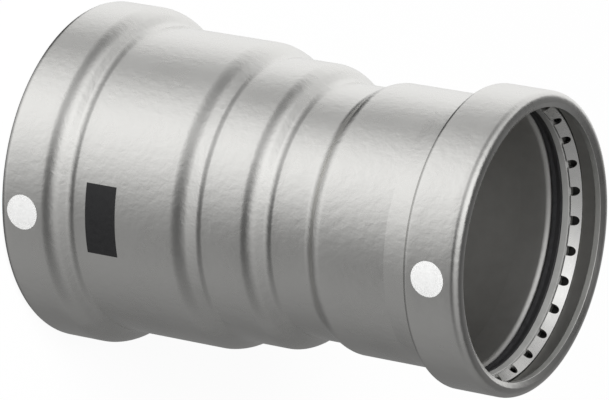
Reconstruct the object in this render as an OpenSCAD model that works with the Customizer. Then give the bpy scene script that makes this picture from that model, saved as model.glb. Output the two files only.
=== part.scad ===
// Press fit reducing coupling: a formed steel shell that stands on its large mouth,
// with a grip ring, a separator ring and a seal in the groove of each mouth.
// Z runs along the axis, and the origin is the centre of the large mouth's face.

/* [Pipes] */
// Outside diameter of the pipe that enters the small socket
small_pipe_d = 76.1; // [74:0.1:78]
// Outside diameter of the pipe that enters the large socket
large_pipe_d = 88.9; // [87:0.1:91]
// Room all round the pipe in the small socket
small_pipe_gap = 0.85; // [0.2:0.05:1.2]
// Room all round the pipe in the large socket
large_pipe_gap = 0.3; // [0.2:0.05:1.2]

/* [Shell] */
// Thickness of the formed wall
wall_t = 2; // [1.6:0.05:2.4]
// Outside diameter of the neck, which stops the small pipe
neck_d = 77.1; // [74:0.1:78]
// Outside diameter of the middle body, which stops the large pipe
middle_d = 86.4; // [84:0.1:89]
// Rounding where the large collar turns into its slope
collar_round = 6.9; // [2:0.1:7]
// Rounding where the large socket turns into its shoulder
socket_round = 9.2; // [2:0.1:9.3]
// Rounding where the middle body turns into its shoulder
middle_round = 6.3; // [2:0.1:6.5]
// Rounding where the small socket turns into its shoulder
small_round = 6; // [2:0.1:6.5]
// Rounding in the crease at the foot of a shoulder
crease_round = 3.5; // [0.5:0.1:4]
// Rounding in the crease between the neck and the small shoulder
neck_round = 4.6; // [1:0.1:5]

/* [Lengths] */
// Large collar, from the mouth's face to its back corner
large_collar_l = 18.2; // [17.5:0.1:24]
// Slope from the large collar down to the large socket
large_step_l = 4.2; // [3.5:0.1:7]
// Large socket, from the collar's slope to its shoulder
large_socket_l = 37.9; // [25:0.1:60]
// Shoulder from the large socket to the middle body
middle_step_l = 5.3; // [3:0.1:9]
// Middle body
middle_l = 16.7; // [10:0.1:30]
// Shoulder from the middle body to the neck
neck_step_l = 4.2; // [3:0.1:9]
// Neck
neck_l = 14.1; // [6:0.1:20]
// Shoulder from the neck to the small socket
small_shoulder_l = 3; // [2.4:0.1:9]
// Small socket, from its shoulder to the flare
small_socket_l = 23.8; // [15:0.1:50]
// Flare that leads the small pipe into the socket
flare_l = 7.9; // [3:0.1:12]
// Back wall of the small collar
small_step_l = 1.2; // [0.6:0.1:3]
// Small collar, from its back corner to the mouth's face
small_collar_l = 18.15; // [17.4:0.05:24]

/* [Mouths] */
// How far the small collar stands out from its socket
small_collar_h = 4.5; // [4.2:0.1:6]
// How far the large collar stands out from its socket
large_collar_h = 4.95; // [4.2:0.05:6]
// Rise of the flare on radius
flare_rise = 1; // [0.4:0.1:1.6]
// Lip that turns in at each mouth, measured in from the groove on radius
lip_h = 2.75; // [2.4:0.05:3.8]
// How far the lip's inner edge lies behind the mouth's face
lip_sink = 0.85; // [0.4:0.05:1.5]
// Thickness of the lip at its inner edge
lip_t = 1.8; // [1.2:0.05:2.2]
// Width of the flat face at each mouth
face_w = 0.4; // [0.3:0.1:1]
// Rounding of the front edge of each collar
mouth_round = 2.8; // [1.5:0.1:3]
// Rounding between the mouth's face and the lip
lip_round = 0.3; // [0.2:0.1:1]
// Rounding of the lip's inner edge
lip_edge_round = 0.5; // [0.2:0.1:1.4]
// Rounding of the back corner of the small collar
collar_back_round = 2; // [0.5:0.1:2.2]

/* [Rings] */
// Room between a ring and what it seats on
ring_gap = 0.1; // [0.05:0.05:0.25]
// Distance from the mouth to the front edge of the grip ring
grip_from_mouth = 8; // [5:0.1:8.4]
// Length of the grip ring along the axis
grip_l = 2.8; // [2.2:0.1:3.2]
// Thickness of the grip ring
grip_t = 1; // [0.6:0.05:1.2]
// How far the grip ring's fingers lean in on radius
grip_lean = 2; // [1:0.1:2.2]
// Slots in the small grip ring
small_slots = 28; // [16:1:36]
// Slots in the large grip ring
large_slots = 32; // [16:1:40]
// Width of a slot
slot_w = 2.9; // [1.2:0.1:3.4]
// Metal left between the front edge and the root of a slot
slot_root = 0.5; // [0.4:0.1:1]
// Turn of each grip ring's first slot about the axis
slot_turn = 7.9; // [0:0.1:12.8]
// Width of the separator ring's front face
separator_face = 1.5; // [1:0.1:2]
// Length of the separator ring along the axis
separator_l = 2.2; // [1.8:0.1:2.6]
// How far the separator ring stands in from the groove
separator_h = 2.95; // [2.4:0.05:3.4]
// How far the seal stands in from the groove
seal_h = 3.2; // [2.6:0.05:3.8]
// Depth of the notch between the seal's two beads
seal_notch = 0.6; // [0.2:0.1:0.9]
// Rounding of the seal's beads
seal_round = 0.6; // [0.3:0.1:0.8]

/* [Hidden] */
$fn = 128;
steel = "silver";
ring_steel = "gainsboro";
rubber = "dimgray";
// Points on each rounded corner
round_steps = 8;
// Smallest rounding inside a bend
least_round = 0.3;
// Corners that turn by less than this many degrees stay as they are
least_turn = 0.5;
// Share of a side that the roundings at its two ends may use
side_share = 0.98;
// How far a cutter runs past the surface that it cuts
past = 1;

// Radii of the shell's outside
small_r = small_pipe_d / 2 + small_pipe_gap + wall_t;
large_r = large_pipe_d / 2 + large_pipe_gap + wall_t;
neck_r = neck_d / 2;
middle_r = middle_d / 2;
flare_r = small_r + flare_rise;
small_collar_r = small_r + small_collar_h;
large_collar_r = large_r + large_collar_h;
// Radii of the grooves
small_groove_r = small_collar_r - wall_t;
large_groove_r = large_collar_r - wall_t;

// Heights of the shell's corners above the large mouth's face
large_step_z = large_collar_l + large_step_l;
large_end_z = large_step_z + large_socket_l;
middle_z = large_end_z + middle_step_l;
middle_end_z = middle_z + middle_l;
neck_z = middle_end_z + neck_step_l;
neck_end_z = neck_z + neck_l;
small_z = neck_end_z + small_shoulder_l;
flare_z = small_z + small_socket_l;
flare_end_z = flare_z + flare_l;
small_collar_z = flare_end_z + small_step_l;
total_l = small_collar_z + small_collar_l;

// Outside of the shell between the two mouths, each corner as radius, height and rounding
outer_corners = [
    [large_collar_r, large_collar_l, collar_round],
    [large_r, large_step_z, crease_round],
    [large_r, large_end_z, socket_round],
    [middle_r, middle_z, crease_round],
    [middle_r, middle_end_z, middle_round],
    [neck_r, neck_z, crease_round],
    [neck_r, neck_end_z, neck_round],
    [small_r, small_z, small_round],
    [small_r, flare_z, 0],
    [flare_r, flare_end_z, least_round],
    [small_collar_r, small_collar_z, collar_back_round]
];

function direction(v) = v / norm(v);
function flat(c) = [c[0], c[1]];
function cross_z(a, b) = a[0] * b[1] - a[1] * b[0];

// Angle in degrees that an outline turns through at corner b, between its neighbours a and c
function turn_at(a, b, c) =
    180 - acos(max(-1, min(1, direction(flat(a) - flat(b)) * direction(flat(c) - flat(b)))));

// Arc with a given radius that rounds corner b between its neighbours a and c
function arc(a, b, c, rad) =
    let(turn = turn_at(a, b, c))
    rad == 0 || turn < least_turn ? [flat(b)] :
    let(u = direction(flat(a) - flat(b)),
        w = direction(flat(c) - flat(b)),
        tangent = rad * tan(turn / 2),
        centre = flat(b) + direction(u + w) * rad / cos(turn / 2),
        start = flat(b) + u * tangent - centre,
        end = flat(b) + w * tangent - centre)
    [for (i = [0 : round_steps])
        let(f = i / round_steps)
        centre + (sin((1 - f) * turn) * start + sin(f * turn) * end) / sin(turn)];

// Share of their length that two roundings keep, so that they fit on the side between them
function fit(a, b, tangent_a, tangent_b) =
    tangent_a + tangent_b == 0 ? 1 :
    min(1, side_share * norm(flat(a) - flat(b)) / (tangent_a + tangent_b));

// Closed outline with every corner rounded
function rounded(corners) =
    let(n = len(corners),
        tangents = [for (i = [0 : n - 1])
            corners[i][2] * tan(turn_at(corners[(i + n - 1) % n], corners[i], corners[(i + 1) % n]) / 2)],
        fits = [for (i = [0 : n - 1])
            fit(corners[i], corners[(i + 1) % n], tangents[i], tangents[(i + 1) % n])])
    [for (i = [0 : n - 1])
        let(before = (i + n - 1) % n)
        each arc(corners[before], corners[i], corners[(i + 1) % n],
                 corners[i][2] * min(fits[before], fits[i]))];

// Corner on the inside of the wall at corner b, one wall thickness from both of its sides
function inside(a, b, c) =
    let(u = direction(flat(b) - flat(a)),
        w = direction(flat(c) - flat(b)),
        n_in = direction([-u[1], u[0]] + [-w[1], w[0]]),
        reach = wall_t / (n_in * [-u[1], u[0]]),
        opens = cross_z(u, w) < 0)
    let(corner = flat(b) + n_in * reach)
    [corner[0], corner[1], b[2] == 0 ? 0 : opens ? b[2] + wall_t : max(b[2] - wall_t, least_round)];

// Inside of the wall, from the large mouth to the small one
function inner_corners() =
    let(path = concat([[large_collar_r, 0]], outer_corners, [[small_collar_r, total_l]]))
    [for (i = [1 : len(path) - 2]) inside(path[i - 1], path[i], path[i + 1])];

function backwards(list) = [for (i = [len(list) - 1 : -1 : 0]) list[i]];

// Mouth from its groove out to its collar, each corner as radius, depth behind the mouth's face and rounding
function mouth_corners(collar_r) =
    let(groove_r = collar_r - wall_t,
        lip_r = groove_r - lip_h)
    [[groove_r, wall_t, max(mouth_round - wall_t, least_round)],
     [lip_r, lip_sink + lip_t, 0],
     [lip_r, lip_sink, lip_edge_round],
     [collar_r - mouth_round - face_w, 0, lip_round],
     [collar_r, 0, mouth_round]];

// Whole section of the shell
shell_section = concat(
    mouth_corners(large_collar_r),
    outer_corners,
    [for (c = backwards(mouth_corners(small_collar_r))) [c[0], total_l - c[1], c[2]]],
    backwards(inner_corners()));

// Distances from a mouth's face into its groove
grip_end = grip_from_mouth + grip_l;
grip_slant = norm([grip_l, grip_lean]);
// Step across the thickness of the slanted grip ring, on radius and along the axis
grip_across = grip_t * [grip_l, grip_lean] / grip_slant;
// The separator ring clears the tips of the fingers
separator_d = grip_end + grip_across[1] + ring_gap;
separator_back = separator_d + separator_l;
seal_d = separator_back + ring_gap;

// Places a ring that is drawn from z = 0, the mouth's face, at the small mouth
module at_small_mouth() {
    translate([0, 0, total_l]) mirror([0, 0, 1]) children();
}

// One slot, cut along the radius through the band, from its round root to the open ends of the fingers
module slot(band_r) {
    root = grip_from_mouth + slot_root;
    half = slot_w / 2;
    open = grip_end + grip_t + past;
    depth = grip_lean + grip_t + past;
    translate([band_r - depth, 0, 0]) rotate([90, 0, 90]) linear_extrude(depth + past)
        polygon(rounded([[-half, root, half], [half, root, half], [half, open, 0], [-half, open, 0]]));
}

// Conical band whose front edge seats in the groove, with slots between the fingers
module grip_ring(groove_r, slots) {
    band_r = groove_r - ring_gap;
    front = [band_r, grip_from_mouth + grip_across[1]];
    tip = front + [-grip_lean, grip_l];
    difference() {
        rotate_extrude() polygon([front, tip, tip - grip_across, front - grip_across]);
        for (i = [0 : slots - 1]) rotate([0, 0, slot_turn + i * 360 / slots]) slot(band_r);
    }
}

// Ring behind the fingers that keeps them off the seal, with its outer front corner cut back
module separator_ring(groove_r) {
    outer_r = groove_r - ring_gap;
    inner_r = groove_r - separator_h;
    cut = outer_r - inner_r - separator_face;
    rotate_extrude() polygon([
        [inner_r, separator_d],
        [inner_r + separator_face, separator_d],
        [outer_r, separator_d + cut],
        [outer_r, separator_back],
        [inner_r, separator_back]]);
}

// Seal with two beads, between the separator ring and the groove's back wall, given the wall's two corners
module seal(groove_r, wall_top, wall_foot) {
    lean = direction(flat(wall_foot) - flat(wall_top));
    inner_r = groove_r - seal_h;
    // Back corners lie one gap in front of the wall
    top = flat(wall_top) - lean * (ring_gap / lean[0]) - [0, ring_gap / abs(lean[0])];
    back = top[1] + lean[1] * (top[0] - inner_r) / -lean[0];
    rotate_extrude() polygon(rounded([
        [groove_r - ring_gap, seal_d, least_round],
        [top[0], top[1], wall_top[2]],
        [inner_r, back, seal_round],
        [inner_r + seal_notch, (seal_d + back) / 2, least_round],
        [inner_r, seal_d, seal_round]]));
}

module fitting_body() {
    color(steel) rotate_extrude() polygon(rounded(shell_section));
}

module small_grip_ring() {
    color(ring_steel) at_small_mouth() grip_ring(small_groove_r, small_slots);
}

module small_separator_ring() {
    color(ring_steel) at_small_mouth() separator_ring(small_groove_r);
}

module small_seal() {
    walls = [for (c = backwards(inner_corners())) [c[0], total_l - c[1], c[2]]];
    color(rubber) at_small_mouth() seal(small_groove_r, walls[0], walls[1]);
}

module large_grip_ring() {
    color(ring_steel) grip_ring(large_groove_r, large_slots);
}

module large_separator_ring() {
    color(ring_steel) separator_ring(large_groove_r);
}

module large_seal() {
    walls = inner_corners();
    color(rubber) seal(large_groove_r, walls[0], walls[1]);
}

fitting_body();
small_grip_ring();
small_separator_ring();
small_seal();
large_grip_ring();
large_separator_ring();
large_seal();
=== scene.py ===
import bpy
import bmesh
import math
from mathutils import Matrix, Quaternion, Vector


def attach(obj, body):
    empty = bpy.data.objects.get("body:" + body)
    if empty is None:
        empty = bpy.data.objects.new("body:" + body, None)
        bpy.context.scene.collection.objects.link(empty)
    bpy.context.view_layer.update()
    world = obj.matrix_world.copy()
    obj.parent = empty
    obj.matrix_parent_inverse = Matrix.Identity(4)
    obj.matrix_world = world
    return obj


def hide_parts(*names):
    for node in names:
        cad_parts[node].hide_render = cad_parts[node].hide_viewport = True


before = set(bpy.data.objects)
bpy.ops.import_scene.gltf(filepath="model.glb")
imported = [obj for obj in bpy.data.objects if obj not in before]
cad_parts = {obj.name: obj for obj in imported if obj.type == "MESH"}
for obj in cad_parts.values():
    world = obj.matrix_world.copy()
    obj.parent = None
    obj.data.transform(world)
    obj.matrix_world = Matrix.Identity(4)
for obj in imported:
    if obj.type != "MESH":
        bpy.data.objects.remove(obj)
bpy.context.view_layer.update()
mm = 0.001
mergeGap = 0.002 * mm  # points closer than this are one point
print("frame loaded,", len(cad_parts), "nodes")


# materials

def newMaterial(name):
    material = bpy.data.materials.new(name)
    material.use_nodes = True
    nodes = material.node_tree.nodes
    shader = nodes["Principled BSDF"]
    coords = nodes.new("ShaderNodeTexCoord")
    return material, shader, coords


def addNoise(material, coords, scale, detail, roughness, stretch=(1, 1, 1), distortion=0.0):
    tree = material.node_tree
    mapping = tree.nodes.new("ShaderNodeMapping")
    mapping.inputs["Scale"].default_value = stretch
    tree.links.new(coords.outputs["Object"], mapping.inputs["Vector"])
    noise = tree.nodes.new("ShaderNodeTexNoise")
    noise.inputs["Scale"].default_value = scale
    noise.inputs["Detail"].default_value = detail
    noise.inputs["Roughness"].default_value = roughness
    noise.inputs["Distortion"].default_value = distortion
    tree.links.new(mapping.outputs["Vector"], noise.inputs["Vector"])
    return noise.outputs["Fac"]


def addRange(material, value, low, high, fromLow=0.3, fromHigh=0.7):
    tree = material.node_tree
    node = tree.nodes.new("ShaderNodeMapRange")
    node.inputs["From Min"].default_value = fromLow
    node.inputs["From Max"].default_value = fromHigh
    node.inputs["To Min"].default_value = low
    node.inputs["To Max"].default_value = high
    tree.links.new(value, node.inputs["Value"])
    return node.outputs["Result"]


def addMix(material, factor, colorA, colorB):
    tree = material.node_tree
    node = tree.nodes.new("ShaderNodeMix")
    node.data_type = "RGBA"
    tree.links.new(factor, node.inputs["Factor"])
    node.inputs["A"].default_value = (*colorA, 1)
    node.inputs["B"].default_value = (*colorB, 1)
    return node.outputs["Result"]


def addBump(material, height, distance, after=None):
    tree = material.node_tree
    node = tree.nodes.new("ShaderNodeBump")
    node.inputs["Distance"].default_value = distance
    node.inputs["Strength"].default_value = 1
    tree.links.new(height, node.inputs["Height"])
    if after is not None:
        tree.links.new(after, node.inputs["Normal"])
    return node.outputs["Normal"]


platedSteel = dict(
    light=(0.79, 0.785, 0.765), dark=(0.74, 0.735, 0.715), smooth=0.25, dull=0.31,
    cloudScale=60,  # cells a metre
    mottleScale=420, mottleStretch=(1, 1, 0.8), mottleDepth=0.1 * mm,
    scratchScale=1000, scratchStretch=(1, 1, 0.3), scratchDepth=0.007 * mm,
)


def makePlatedSteel():
    material, shader, coords = newMaterial("platedSteel")
    tree = material.node_tree
    p = platedSteel
    cloud = addNoise(material, coords, p["cloudScale"], detail=4, roughness=0.6)
    mottle = addNoise(material, coords, p["mottleScale"], detail=2, roughness=0.55,
                      stretch=p["mottleStretch"], distortion=0.2)
    scratch = addNoise(material, coords, p["scratchScale"], detail=1, roughness=0.4,
                       stretch=p["scratchStretch"], distortion=0.8)
    color = addMix(material, addRange(material, cloud, 0, 1), p["dark"], p["light"])
    tree.links.new(color, shader.inputs["Base Color"])
    tree.links.new(addRange(material, cloud, p["smooth"], p["dull"]), shader.inputs["Roughness"])
    shader.inputs["Metallic"].default_value = 1
    uneven = addBump(material, mottle, p["mottleDepth"])
    tree.links.new(addBump(material, scratch, p["scratchDepth"], uneven), shader.inputs["Normal"])
    return material


grainedMetal = dict(grainScale=1500, cloudScale=250)


# plain metal with a fine grain
def makeGrainedMetal(name, light, dark, smooth, dull, depth, metallic=1.0):
    material, shader, coords = newMaterial(name)
    tree = material.node_tree
    grain = addNoise(material, coords, grainedMetal["grainScale"], detail=4, roughness=0.6)
    cloud = addNoise(material, coords, grainedMetal["cloudScale"], detail=3, roughness=0.5)
    color = addMix(material, addRange(material, cloud, 0, 1), dark, light)
    tree.links.new(color, shader.inputs["Base Color"])
    tree.links.new(addRange(material, grain, smooth, dull), shader.inputs["Roughness"])
    shader.inputs["Metallic"].default_value = metallic
    tree.links.new(addBump(material, grain, depth), shader.inputs["Normal"])
    return material


# rubber or print, coloured and roughened by one grain
def makeMatt(name, light, dark, smooth, dull, grainScale, depth):
    material, shader, coords = newMaterial(name)
    tree = material.node_tree
    grain = addNoise(material, coords, grainScale, detail=4, roughness=0.6)
    color = addMix(material, addRange(material, grain, 0, 1), dark, light)
    tree.links.new(color, shader.inputs["Base Color"])
    tree.links.new(addRange(material, grain, smooth, dull), shader.inputs["Roughness"])
    tree.links.new(addBump(material, grain, depth), shader.inputs["Normal"])
    return material


steelFinish = makePlatedSteel()
# bore steel: a finer, duller grain, with a darker colour that is painted shade inside the tube
boreDullAndShaded = makeGrainedMetal("boreGrainPaintedShade", light=(0.62, 0.615, 0.60), dark=(0.58, 0.575, 0.56),
                              smooth=0.4, dull=0.5, depth=0.003 * mm)
# cut edge: a rougher, half-metal surface, with a dark colour that is painted shade
cutEdgeAndShade = makeGrainedMetal("cutEdgePaintedShade", light=(0.26, 0.26, 0.25), dark=(0.22, 0.22, 0.21),
                             smooth=0.45, dull=0.55, depth=0.004 * mm, metallic=0.3)
# painted shade: near black for the groove wall behind the grip ring
grooveShadePaint = makeGrainedMetal("groovePaintedShade", light=(0.10, 0.10, 0.10), dark=(0.07, 0.07, 0.07),
                                smooth=0.5, dull=0.6, depth=0.003 * mm)
ringFinish = makeGrainedMetal("ringSteel", light=(0.84, 0.835, 0.82), dark=(0.78, 0.775, 0.76),
                              smooth=0.25, dull=0.35, depth=0.003 * mm)
washerFinish = makeGrainedMetal("washerSteel", light=(0.42, 0.42, 0.41), dark=(0.37, 0.37, 0.36),
                                smooth=0.45, dull=0.55, depth=0.003 * mm, metallic=0.3)
rubberFinish = makeMatt("sealRubber", light=(0.022, 0.022, 0.023), dark=(0.010, 0.010, 0.011),
                        smooth=0.38, dull=0.55, grainScale=900, depth=0.01 * mm)
whitePrint = makeMatt("whitePrint", light=(0.70, 0.70, 0.695), dark=(0.66, 0.66, 0.655),
                      smooth=0.45, dull=0.6, grainScale=700, depth=0.006 * mm)
darkPrint = makeMatt("darkPrint", light=(0.014, 0.014, 0.015), dark=(0.009, 0.009, 0.010),
                     smooth=0.4, dull=0.55, grainScale=700, depth=0.006 * mm)
print("materials made")


# shapes

def finishPiece(bm, name, finish, nodes=()):
    mesh = bpy.data.meshes.new(name)
    bm.to_mesh(mesh)
    bm.free()
    piece = bpy.data.objects.new(name, mesh)
    bpy.context.scene.collection.objects.link(piece)
    mesh.materials.append(finish)
    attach(piece, "root")
    if nodes:
        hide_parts(*nodes)
    print("made", name, len(mesh.polygons), "faces")
    return piece


# each corner is radius, height and rounding in mm; a rounding of 0 stays crisp
def turnSection(corners, turns=192, roundSteps=10, longest=2.5):
    bm = bmesh.new()
    verts = [bm.verts.new((r * mm, 0, z * mm)) for r, z, _ in corners]
    bm.faces.new(verts)
    places = [vert.co.copy() for vert in verts]
    for i, vert in enumerate(verts):
        rounding = corners[i][2]
        if rounding == 0:
            continue
        before = places[i - 1] - places[i]
        after = places[(i + 1) % len(places)] - places[i]
        turn = math.pi - before.angle(after)
        bmesh.ops.bevel(bm, geom=[vert], offset=rounding * mm * math.tan(turn / 2),
                        offset_type="OFFSET", segments=roundSteps, profile=0.5, affect="VERTICES",
                        clamp_overlap=False, material=-1)
    bmesh.ops.delete(bm, geom=list(bm.faces), context="FACES_ONLY")
    for edge in list(bm.edges):
        cuts = int(edge.calc_length() / (longest * mm))
        if cuts:
            bmesh.ops.subdivide_edges(bm, edges=[edge], cuts=cuts)
    bmesh.ops.spin(bm, geom=list(bm.verts) + list(bm.edges), cent=(0, 0, 0), axis=(0, 0, 1),
                   angle=math.tau, steps=turns, use_merge=True, use_duplicate=False)
    bmesh.ops.remove_doubles(bm, verts=bm.verts, dist=mergeGap)
    bmesh.ops.recalc_face_normals(bm, faces=bm.faces)
    crisp = [(r * mm, z * mm) for r, z, rounding in corners if rounding == 0]
    for f in bm.faces:
        f.smooth = True
    for edge in bm.edges:
        start, end = (vert.co for vert in edge.verts)
        level = abs(start.z - end.z) < mergeGap
        radius = math.hypot(start.x, start.y)
        if level and any(abs(radius - r) < mergeGap and abs(start.z - z) < mergeGap for r, z in crisp):
            edge.smooth = False
    return bm


shell = dict(
    wall=2.0,
    smallR=40.9, largeR=46.75, neckR=38.55, middleR=43.2,
    flareRise=1.0, smallCollar=4.5, largeCollar=4.95,
    # heights of the corners above the large mouth's face
    largeCollarZ=18.2, largeStepZ=22.4, largeEndZ=60.3, middleZ=65.6, middleEndZ=82.3,
    neckZ=86.5, neckEndZ=100.6, smallZ=103.6, flareZ=127.4, flareEndZ=135.3,
    smallCollarZ=136.25, topZ=154.65,
    lipDepth=2.75, lipSink=0.85, lipThick=1.8, faceWide=0.4,
    lipRound=0.3, lipEdgeRound=0.2, lipBackRound=0.15,
    collarRound=6.9, socketRound=9.2, middleRound=6.3, smallRound=6.0, backRound=2.0,
    creaseRound=3.5, neckRound=4.6, mouthRound=2.8, leastRound=0.3,
    # part of the groove behind the grip ring that is painted dark, as painted shade that shows through
    # the slots
    darkFrom=8.3, darkTo=11.6,
    # how nearly the faces of the groove and of the cut edge point at the axis
    grooveFacing=0.99, cutFacing=0.9,
)


def outerCorners(s):
    return [
        (s["largeR"] + s["largeCollar"], s["largeCollarZ"], s["collarRound"]),
        (s["largeR"], s["largeStepZ"], s["creaseRound"]),
        (s["largeR"], s["largeEndZ"], s["socketRound"]),
        (s["middleR"], s["middleZ"], s["creaseRound"]),
        (s["middleR"], s["middleEndZ"], s["middleRound"]),
        (s["neckR"], s["neckZ"], s["creaseRound"]),
        (s["neckR"], s["neckEndZ"], s["neckRound"]),
        (s["smallR"], s["smallZ"], s["smallRound"]),
        (s["smallR"], s["flareZ"], 0),
        (s["smallR"] + s["flareRise"], s["flareEndZ"], s["leastRound"]),
        (s["smallR"] + s["smallCollar"], s["smallCollarZ"], s["backRound"]),
    ]


# the inside of the wall runs one wall thickness from both sides of each corner
def innerCorners(s):
    outer = outerCorners(s)
    path = [(outer[0][0], 0, 0), *outer, (outer[-1][0], s["topZ"], 0)]
    inner = []
    for a, b, c in zip(path, path[1:], path[2:]):
        u = Vector((b[0] - a[0], b[1] - a[1])).normalized()
        w = Vector((c[0] - b[0], c[1] - b[1])).normalized()
        inward = (Vector((-u.y, u.x)) + Vector((-w.y, w.x))).normalized()
        reach = s["wall"] / inward.dot(Vector((-u.y, u.x)))
        crease = u.x * w.y - u.y * w.x < 0
        bend = b[2] + s["wall"] if crease else max(b[2] - s["wall"], s["leastRound"])
        inner.append((b[0] + inward.x * reach, b[1] + inward.y * reach, bend if b[2] else 0))
    return inner


# from the groove out to the collar; heights are measured back from the mouth's face
def mouthCorners(s, collarR):
    grooveR = collarR - s["wall"]
    lipR = grooveR - s["lipDepth"]
    return [
        (grooveR, s["darkTo"], 0),
        (grooveR, s["darkFrom"], 0),
        (grooveR, s["wall"], s["mouthRound"] - s["wall"]),
        (lipR, s["lipSink"] + s["lipThick"], s["lipBackRound"]),
        (lipR, s["lipSink"], s["lipEdgeRound"]),
        (collarR - s["mouthRound"] - s["faceWide"], 0, s["lipRound"]),
        (collarR, 0, s["mouthRound"]),
    ]


def fromTop(corners):
    return [(r, shell["topZ"] - z, rounding) for r, z, rounding in corners]


def makeShell():
    s = shell
    outer = outerCorners(s)
    section = mouthCorners(s, outer[0][0]) + outer
    section += fromTop(mouthCorners(s, outer[-1][0])[::-1])
    section += innerCorners(s)[::-1]
    piece = finishPiece(turnSection(section), "fittingShell", steelFinish,
                        ["fitting_body"])
    # inside, the plating is smoother and duller, and its darker colour is painted shade; the lip's inner
    # edge is a plain cut, its dark colour painted shade; the groove behind the grip ring is painted
    # shade
    for finish in (boreDullAndShaded, grooveShadePaint, cutEdgeAndShade):
        piece.data.materials.append(finish)
    for f in piece.data.polygons:
        radius = math.hypot(f.center.x, f.center.y)
        inward = -(f.normal.x * f.center.x + f.normal.y * f.center.y) / radius
        depth = min(f.center.z, s["topZ"] * mm - f.center.z)
        # painted shade on the groove wall behind the grip ring
        if inward > s["grooveFacing"] and s["darkFrom"] * mm < depth < s["darkTo"] * mm:
            f.material_index = 2
        # the rest of the inside: duller steel with painted shade in its colour
        elif inward > 0 and depth > (s["lipSink"] + s["lipThick"]) * mm:
            f.material_index = 1
        # the lip's inner edge: rough cut steel with painted shade in its colour
        elif inward > s["cutFacing"]:
            f.material_index = 3


makeShell()


# rings in the two grooves

rings = dict(
    gap=0.1,
    separatorFrom=11.481, separatorLong=2.2, separatorDeep=2.95, separatorFace=1.5,
    sealDeep=3.2, sealNotch=0.6, sealRound=0.6, edgeRound=0.12,
    crispAngle=30,  # degrees
)


def separatorCorners(grooveR):
    g = rings
    outerR = grooveR - g["gap"]
    innerR = grooveR - g["separatorDeep"]
    start = g["separatorFrom"]
    cut = outerR - innerR - g["separatorFace"]
    return [
        (innerR, start, g["edgeRound"]),
        (innerR + g["separatorFace"], start, g["edgeRound"]),
        (outerR, start + cut, g["edgeRound"]),
        (outerR, start + g["separatorLong"], g["edgeRound"]),
        (innerR, start + g["separatorLong"], g["edgeRound"]),
    ]


# the seal leans on the groove's back wall, which runs between two given corners
def sealCorners(grooveR, wallTop, wallFoot):
    g = rings
    lean = Vector((wallFoot[0] - wallTop[0], wallFoot[1] - wallTop[1])).normalized()
    innerR = grooveR - g["sealDeep"]
    start = g["separatorFrom"] + g["separatorLong"] + g["gap"]
    topR = wallTop[0] - g["gap"]
    topZ = wallTop[1] - lean.y * g["gap"] / lean.x - g["gap"] / abs(lean.x)
    back = topZ + lean.y * (topR - innerR) / -lean.x
    return [
        (grooveR - g["gap"], start, shell["leastRound"]),
        (topR, topZ, wallTop[2]),
        (innerR, back, g["sealRound"]),
        (innerR + g["sealNotch"], (start + back) / 2, shell["leastRound"]),
        (innerR, start, g["sealRound"]),
    ]


# a CAD ring's own mesh, merged, with crisp edges between its smooth sides
def crispCopy(node, name, finish):
    bm = bmesh.new()
    bm.from_mesh(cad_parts[node].data)
    bmesh.ops.remove_doubles(bm, verts=bm.verts, dist=mergeGap)
    bmesh.ops.recalc_face_normals(bm, faces=bm.faces)
    for f in bm.faces:
        f.smooth = True
    for edge in bm.edges:
        edge.smooth = edge.calc_face_angle(math.pi) < math.radians(rings["crispAngle"])
    finishPiece(bm, name, finish, [node])


def makeRings():
    s = shell
    inner = innerCorners(s)
    largeGroove = s["largeR"] + s["largeCollar"] - s["wall"]
    smallGroove = s["smallR"] + s["smallCollar"] - s["wall"]
    crispCopy("large_grip_ring", "largeGripRing", ringFinish)
    crispCopy("small_grip_ring", "smallGripRing", ringFinish)
    finishPiece(turnSection(separatorCorners(largeGroove)), "largeSeparatorRing", washerFinish,
                ["large_separator_ring"])
    finishPiece(turnSection(fromTop(separatorCorners(smallGroove))), "smallSeparatorRing",
                washerFinish, ["small_separator_ring"])
    finishPiece(turnSection(sealCorners(largeGroove, inner[0], inner[1])), "largeSeal", rubberFinish,
                ["large_seal"])
    walls = fromTop(inner[::-1])
    finishPiece(turnSection(fromTop(sealCorners(smallGroove, walls[0], walls[1]))), "smallSeal",
                rubberFinish, ["small_seal"])


makeRings()


# printed marks

marks = dict(
    dotAcross=10.7, dotSides=64,
    dotTurn=-76.0,  # degrees about the axis
    smallDotZ=144.55, largeDotZ=8.5,
    fieldLowZ=27.8, fieldHighZ=38.35,
    fieldFrom=-89.3, fieldTo=-62.6, fieldSlices=24,
    lift=0.03, thick=0.02,
)


# a flat shape in mm, made into a thin layer and wrapped onto a cylinder; the turn is in degrees
def layOnto(bm, radius, turn, height):
    bmesh.ops.translate(bm, verts=bm.verts, vec=(0, 0, marks["lift"]))
    top = bmesh.ops.extrude_face_region(bm, geom=list(bm.faces))
    raised = [v for v in top["geom"] if isinstance(v, bmesh.types.BMVert)]
    bmesh.ops.translate(bm, verts=raised, vec=(0, 0, marks["thick"]))
    for vert in bm.verts:
        angle = math.radians(turn) + vert.co.x / radius
        reach = radius + vert.co.z
        vert.co = Vector((math.cos(angle) * reach, math.sin(angle) * reach, height + vert.co.y)) * mm
    bmesh.ops.recalc_face_normals(bm, faces=bm.faces)


def makeDot(name, radius, height):
    m = marks
    bm = bmesh.new()
    bmesh.ops.create_circle(bm, cap_ends=True, cap_tris=False, segments=m["dotSides"],
                            radius=m["dotAcross"] / 2)
    # slices a millimetre wide, so that the dot can bend
    half = int(m["dotAcross"] / 2)
    for cut in range(-half, half + 1):
        everything = list(bm.verts) + list(bm.edges) + list(bm.faces)
        bmesh.ops.bisect_plane(bm, geom=everything, plane_co=(cut, 0, 0), plane_no=(1, 0, 0))
    layOnto(bm, radius, m["dotTurn"], height)
    finishPiece(bm, name, whitePrint)


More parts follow.
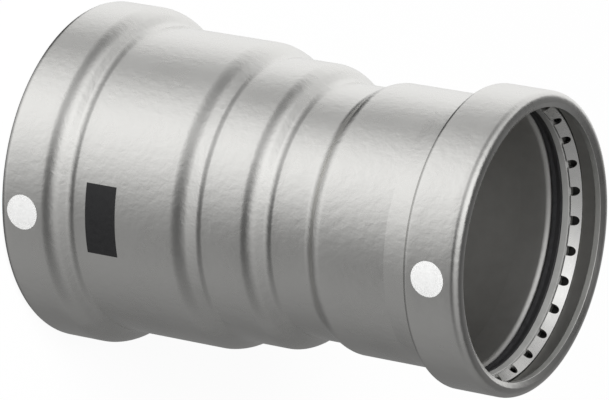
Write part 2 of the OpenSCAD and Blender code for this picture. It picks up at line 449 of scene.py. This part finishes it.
def makeField(name, radius):
    m = marks
    bm = bmesh.new()
    wide = math.radians(m["fieldTo"] - m["fieldFrom"]) * radius
    tall = m["fieldHighZ"] - m["fieldLowZ"]
    bmesh.ops.create_grid(bm, x_segments=m["fieldSlices"], y_segments=1, size=0.5)
    bmesh.ops.scale(bm, vec=(wide, tall, 1), verts=bm.verts)
    layOnto(bm, radius, (m["fieldFrom"] + m["fieldTo"]) / 2, (m["fieldLowZ"] + m["fieldHighZ"]) / 2)
    finishPiece(bm, name, darkPrint)


makeDot("smallCollarDot", shell["smallR"] + shell["smallCollar"], marks["smallDotZ"])
makeDot("largeCollarDot", shell["largeR"] + shell["largeCollar"], marks["largeDotZ"])
makeField("bodyField", shell["largeR"])


# camera

view = dict(
    focalPixels=5000, widthPixels=609, sensorWide=36,
    azimuth=-5.13, elevation=30.42, roll=100.05,  # degrees
    distance=1490.9, aim=(-1.68, -3.97, 77.46),
    clipEnd=50,  # metres
)


def makeCamera():
    data = bpy.data.cameras.new("photoCamera")
    data.sensor_width = view["sensorWide"]
    data.sensor_fit = "HORIZONTAL"
    data.lens = view["focalPixels"] / view["widthPixels"] * data.sensor_width
    data.clip_end = view["clipEnd"]
    camera = bpy.data.objects.new("photoCamera", data)
    bpy.context.scene.collection.objects.link(camera)
    a, e = math.radians(view["azimuth"]), math.radians(view["elevation"])
    back = Vector((math.sin(a) * math.cos(e), -math.cos(a) * math.cos(e), math.sin(e)))
    camera.location = (Vector(view["aim"]) + back * view["distance"]) * mm
    camera.rotation_mode = "QUATERNION"
    turn = Quaternion((0, 0, 1), math.radians(view["roll"]))
    camera.rotation_quaternion = (-back).to_track_quat("-Z", "Y") @ turn
    bpy.context.scene.camera = camera
    print("camera made")


makeCamera()


# studio

studio = dict(
    # light level by compass angle, in degrees about the axis, below and above the horizon
    lowLevels=[(-180, 0.48), (-165, 0.73), (-148, 1.07), (-131, 1.18), (-117, 1.12), (-103, 0.95),
               (-87, 0.64), (-71, 0.37), (-55, 0.30), (-23, 0.33), (1, 0.28), (33, 0.19),
               (57, 0.21), (73, 0.25), (88, 0.35), (98, 0.95), (121, 1.02), (137, 1.02),
               (153, 0.84), (165, 0.6), (179, 0.48)],
    highLevels=[(-180, 0.66), (-170, 0.8), (-150, 1.04), (-130, 1.22), (-110, 1.1), (-90, 0.82),
                (-70, 0.57), (-50, 0.42), (-30, 0.37), (-10, 0.32), (10, 0.25), (40, 0.2),
                (80, 0.2), (110, 1.0), (150, 0.8), (170, 0.52), (179, 0.66)],
    blendFrom=-0.1, blendTo=0.35,
    # level further down, from about 40 degrees below the horizon
    groundLevels=[(-180, 0.5), (-164, 0.85), (-142, 1.05), (-119, 1.07), (-95, 0.88), (-72, 0.51),
                  (-49, 0.35), (-4, 0.3), (26, 0.16), (60, 0.1), (88, 0.04), (144, 0.0),
                  (158, 0.12), (170, 0.36), (179, 0.5)],
    groundFrom=-0.73, groundTo=-0.58,
    # level straight down, by X and a share of Y
    acrossShare=0.5,
    underLevels=[(-1.0, 0.6), (-0.4, 0.6), (-0.14, 0.55), (0.1, 0.25), (0.3, 0.12), (0.5, 0.08)],
    underFrom=-0.94, underTo=-0.82,
    # dark strip along the horizon: its depth by compass angle, and its shape by height
    stripDepths=[(-180, 0.5), (-170, 0.68), (-150, 0.62), (-130, 0.52), (-110, 0.62), (-90, 0.82),
                 (-70, 0.82), (-50, 0.64), (-30, 0.46), (-10, 0.3), (12, 0.0), (160, 0.0), (179, 0.5)],
    stripShape=[(-0.53, 0.0), (-0.375, 0.25), (-0.2, 0.85), (0.0, 1.0), (0.17, 1.0), (0.34, 0.55),
                (0.5, 0.1), (0.64, 0.0)],
    # dark patch overhead, on the far side, with its level from the near side to the far side
    patchToward=(0.0, 0.53, 0.848), patchFrom=0.67, patchTo=0.785,
    patchLevels=[(-1.0, 0.06), (0.1, 0.07), (0.5, 0.1), (0.86, 0.16), (1.0, 0.16)],
    paintRough=0.9,
    floorSize=12.0, floorTone=0.85, floorWhite=0.95,
    # the disc under the tube: painted shade, and a glow that is painted light for the bore
    shadeR=46.0, shadeSides=64, shadeTone=0.25, shadeGlow=0.4,
    lampPlace=(-0.7, -1.2, 1.6), lampSize=1.1, lampPower=48.0,
)


def addMath(tree, operation, a, b):
    node = tree.nodes.new("ShaderNodeMath")
    node.operation = operation
    for socket, value in zip(node.inputs, (a, b)):
        if isinstance(value, (int, float)):
            socket.default_value = value
        else:
            tree.links.new(value, socket)
    return node.outputs["Value"]


# stops are place and level, places from low to high; a ramp holds half levels
def addRamp(tree, value, low, high, stops):
    spread = tree.nodes.new("ShaderNodeMapRange")
    spread.inputs["From Min"].default_value = low
    spread.inputs["From Max"].default_value = high
    tree.links.new(value, spread.inputs["Value"])
    node = tree.nodes.new("ShaderNodeValToRGB")
    elements = node.color_ramp.elements
    elements.remove(elements[-1])
    for i, (place, level) in enumerate(stops):
        share = (place - low) / (high - low)
        element = elements.new(share) if i else elements[0]
        element.position = share
        element.color = (level / 2, level / 2, level / 2, 1)
    tree.links.new(spread.outputs["Result"], node.inputs["Fac"])
    return addMath(tree, "MULTIPLY", node.outputs["Color"], 2)


def addStep(tree, value, low, high):
    node = tree.nodes.new("ShaderNodeMapRange")
    node.interpolation_type = "SMOOTHSTEP"
    node.inputs["From Min"].default_value = low
    node.inputs["From Max"].default_value = high
    tree.links.new(value, node.inputs["Value"])
    return node.outputs["Result"]


def addBlend(tree, factor, a, b):
    node = tree.nodes.new("ShaderNodeMix")
    for name, value in (("Factor", factor), ("A", a), ("B", b)):
        tree.links.new(value, node.inputs[name])
    return node.outputs["Result"]


def makeWorld():
    world = bpy.data.worlds.new("studioWorld")
    bpy.context.scene.world = world
    world.use_nodes = True
    tree = world.node_tree
    nodes, links = tree.nodes, tree.links
    coords = nodes.new("ShaderNodeTexCoord")
    split = nodes.new("ShaderNodeSeparateXYZ")
    links.new(coords.outputs["Generated"], split.inputs["Vector"])
    x, y, z = split.outputs
    compass = addMath(tree, "ARCTAN2", y, x)
    degrees = addMath(tree, "MULTIPLY", compass, 180 / math.pi)
    lowLevel = addRamp(tree, degrees, -180, 180, studio["lowLevels"])
    highLevel = addRamp(tree, degrees, -180, 180, studio["highLevels"])
    level = addBlend(tree, addStep(tree, z, studio["blendFrom"], studio["blendTo"]), lowLevel, highLevel)
    ground = addRamp(tree, degrees, -180, 180, studio["groundLevels"])
    across = addMath(tree, "ADD", x, addMath(tree, "MULTIPLY", y, studio["acrossShare"]))
    under = addRamp(tree, across, -1, 1, studio["underLevels"])
    ground = addBlend(tree, addStep(tree, z, studio["underFrom"], studio["underTo"]), under, ground)
    level = addBlend(tree, addStep(tree, z, studio["groundFrom"], studio["groundTo"]), ground, level)
    depth = addRamp(tree, degrees, -180, 180, studio["stripDepths"])
    strip = addMath(tree, "MULTIPLY", depth, addRamp(tree, z, -1, 1, studio["stripShape"]))
    level = addMath(tree, "MULTIPLY", level, addMath(tree, "SUBTRACT", 1, strip))
    toward = nodes.new("ShaderNodeVectorMath")
    toward.operation = "DOT_PRODUCT"
    toward.inputs[1].default_value = studio["patchToward"]
    links.new(coords.outputs["Generated"], toward.inputs[0])
    patch = addStep(tree, toward.outputs["Value"], studio["patchFrom"], studio["patchTo"])
    level = addBlend(tree, patch, level, addRamp(tree, y, -1, 1, studio["patchLevels"]))
    links.new(level, nodes["Background"].inputs["Color"])
    # the camera, and anything seen through glass, meets plain white
    white = nodes.new("ShaderNodeBackground")
    white.inputs["Color"].default_value = (1, 1, 1, 1)
    path = nodes.new("ShaderNodeLightPath")
    seen = addMath(tree, "MAXIMUM", path.outputs["Is Camera Ray"], path.outputs["Is Transmission Ray"])
    choose = nodes.new("ShaderNodeMixShader")
    links.new(seen, choose.inputs["Fac"])
    links.new(nodes["Background"].outputs["Background"], choose.inputs[1])
    links.new(white.outputs["Background"], choose.inputs[2])
    links.new(choose.outputs["Shader"], nodes["World Output"].inputs["Surface"])


def makeStagePiece(bm, name, tone):
    mesh = bpy.data.meshes.new(name)
    bm.to_mesh(mesh)
    bm.free()
    piece = bpy.data.objects.new(name, mesh)
    bpy.context.scene.collection.objects.link(piece)
    material = bpy.data.materials.new(name + "Paint")
    material.use_nodes = True
    shader = material.node_tree.nodes["Principled BSDF"]
    shader.inputs["Base Color"].default_value = (tone, tone, tone, 1)
    shader.inputs["Roughness"].default_value = studio["paintRough"]
    mesh.materials.append(material)
    return piece, shader


# white to the camera, and seen from above only
def makeFloor():
    bm = bmesh.new()
    bmesh.ops.create_grid(bm, x_segments=1, y_segments=1, size=studio["floorSize"] / 2)
    floor, shader = makeStagePiece(bm, "floor", studio["floorTone"])
    floor.visible_glossy = False
    tree = shader.id_data
    shader.inputs["Specular IOR Level"].default_value = 0
    white = tree.nodes.new("ShaderNodeEmission")
    path = tree.nodes.new("ShaderNodeLightPath")
    choose = tree.nodes.new("ShaderNodeMixShader")
    seen = addMath(tree, "MULTIPLY", path.outputs["Is Camera Ray"], studio["floorWhite"])
    tree.links.new(seen, choose.inputs["Fac"])
    tree.links.new(shader.outputs["BSDF"], choose.inputs[1])
    tree.links.new(white.outputs["Emission"], choose.inputs[2])
    under = tree.nodes.new("ShaderNodeBsdfTransparent")
    side = tree.nodes.new("ShaderNodeNewGeometry")
    oneSided = tree.nodes.new("ShaderNodeMixShader")
    tree.links.new(side.outputs["Backfacing"], oneSided.inputs["Fac"])
    tree.links.new(choose.outputs["Shader"], oneSided.inputs[1])
    tree.links.new(under.outputs["BSDF"], oneSided.inputs[2])
    tree.links.new(oneSided.outputs["Shader"], tree.nodes["Material Output"].inputs["Surface"])


# dark disc at the end of the tube, painted shade for the floor there, with a faint glow that is painted
# light; seen only in the bore's reflections
def makeShade():
    bm = bmesh.new()
    bmesh.ops.create_circle(bm, cap_ends=True, cap_tris=False, segments=studio["shadeSides"],
                            radius=studio["shadeR"] * mm)
    shade, shader = makeStagePiece(bm, "shade", studio["shadeTone"])
    shade.visible_camera = False
    shader.inputs["Emission Color"].default_value = (1, 1, 1, 1)
    shader.inputs["Emission Strength"].default_value = studio["shadeGlow"]


def makeLamp():
    data = bpy.data.lights.new("softLamp", "AREA")
    data.shape = "DISK"
    data.size = studio["lampSize"]
    data.energy = studio["lampPower"]
    lamp = bpy.data.objects.new("softLamp", data)
    bpy.context.scene.collection.objects.link(lamp)
    lamp.location = studio["lampPlace"]
    lamp.rotation_mode = "QUATERNION"
    lamp.rotation_quaternion = (-Vector(studio["lampPlace"])).to_track_quat("-Z", "Y")
    lamp.visible_glossy = False


makeWorld()
makeFloor()
makeShade()
makeLamp()
bpy.context.scene.view_settings.view_transform = "Standard"
print("studio made")
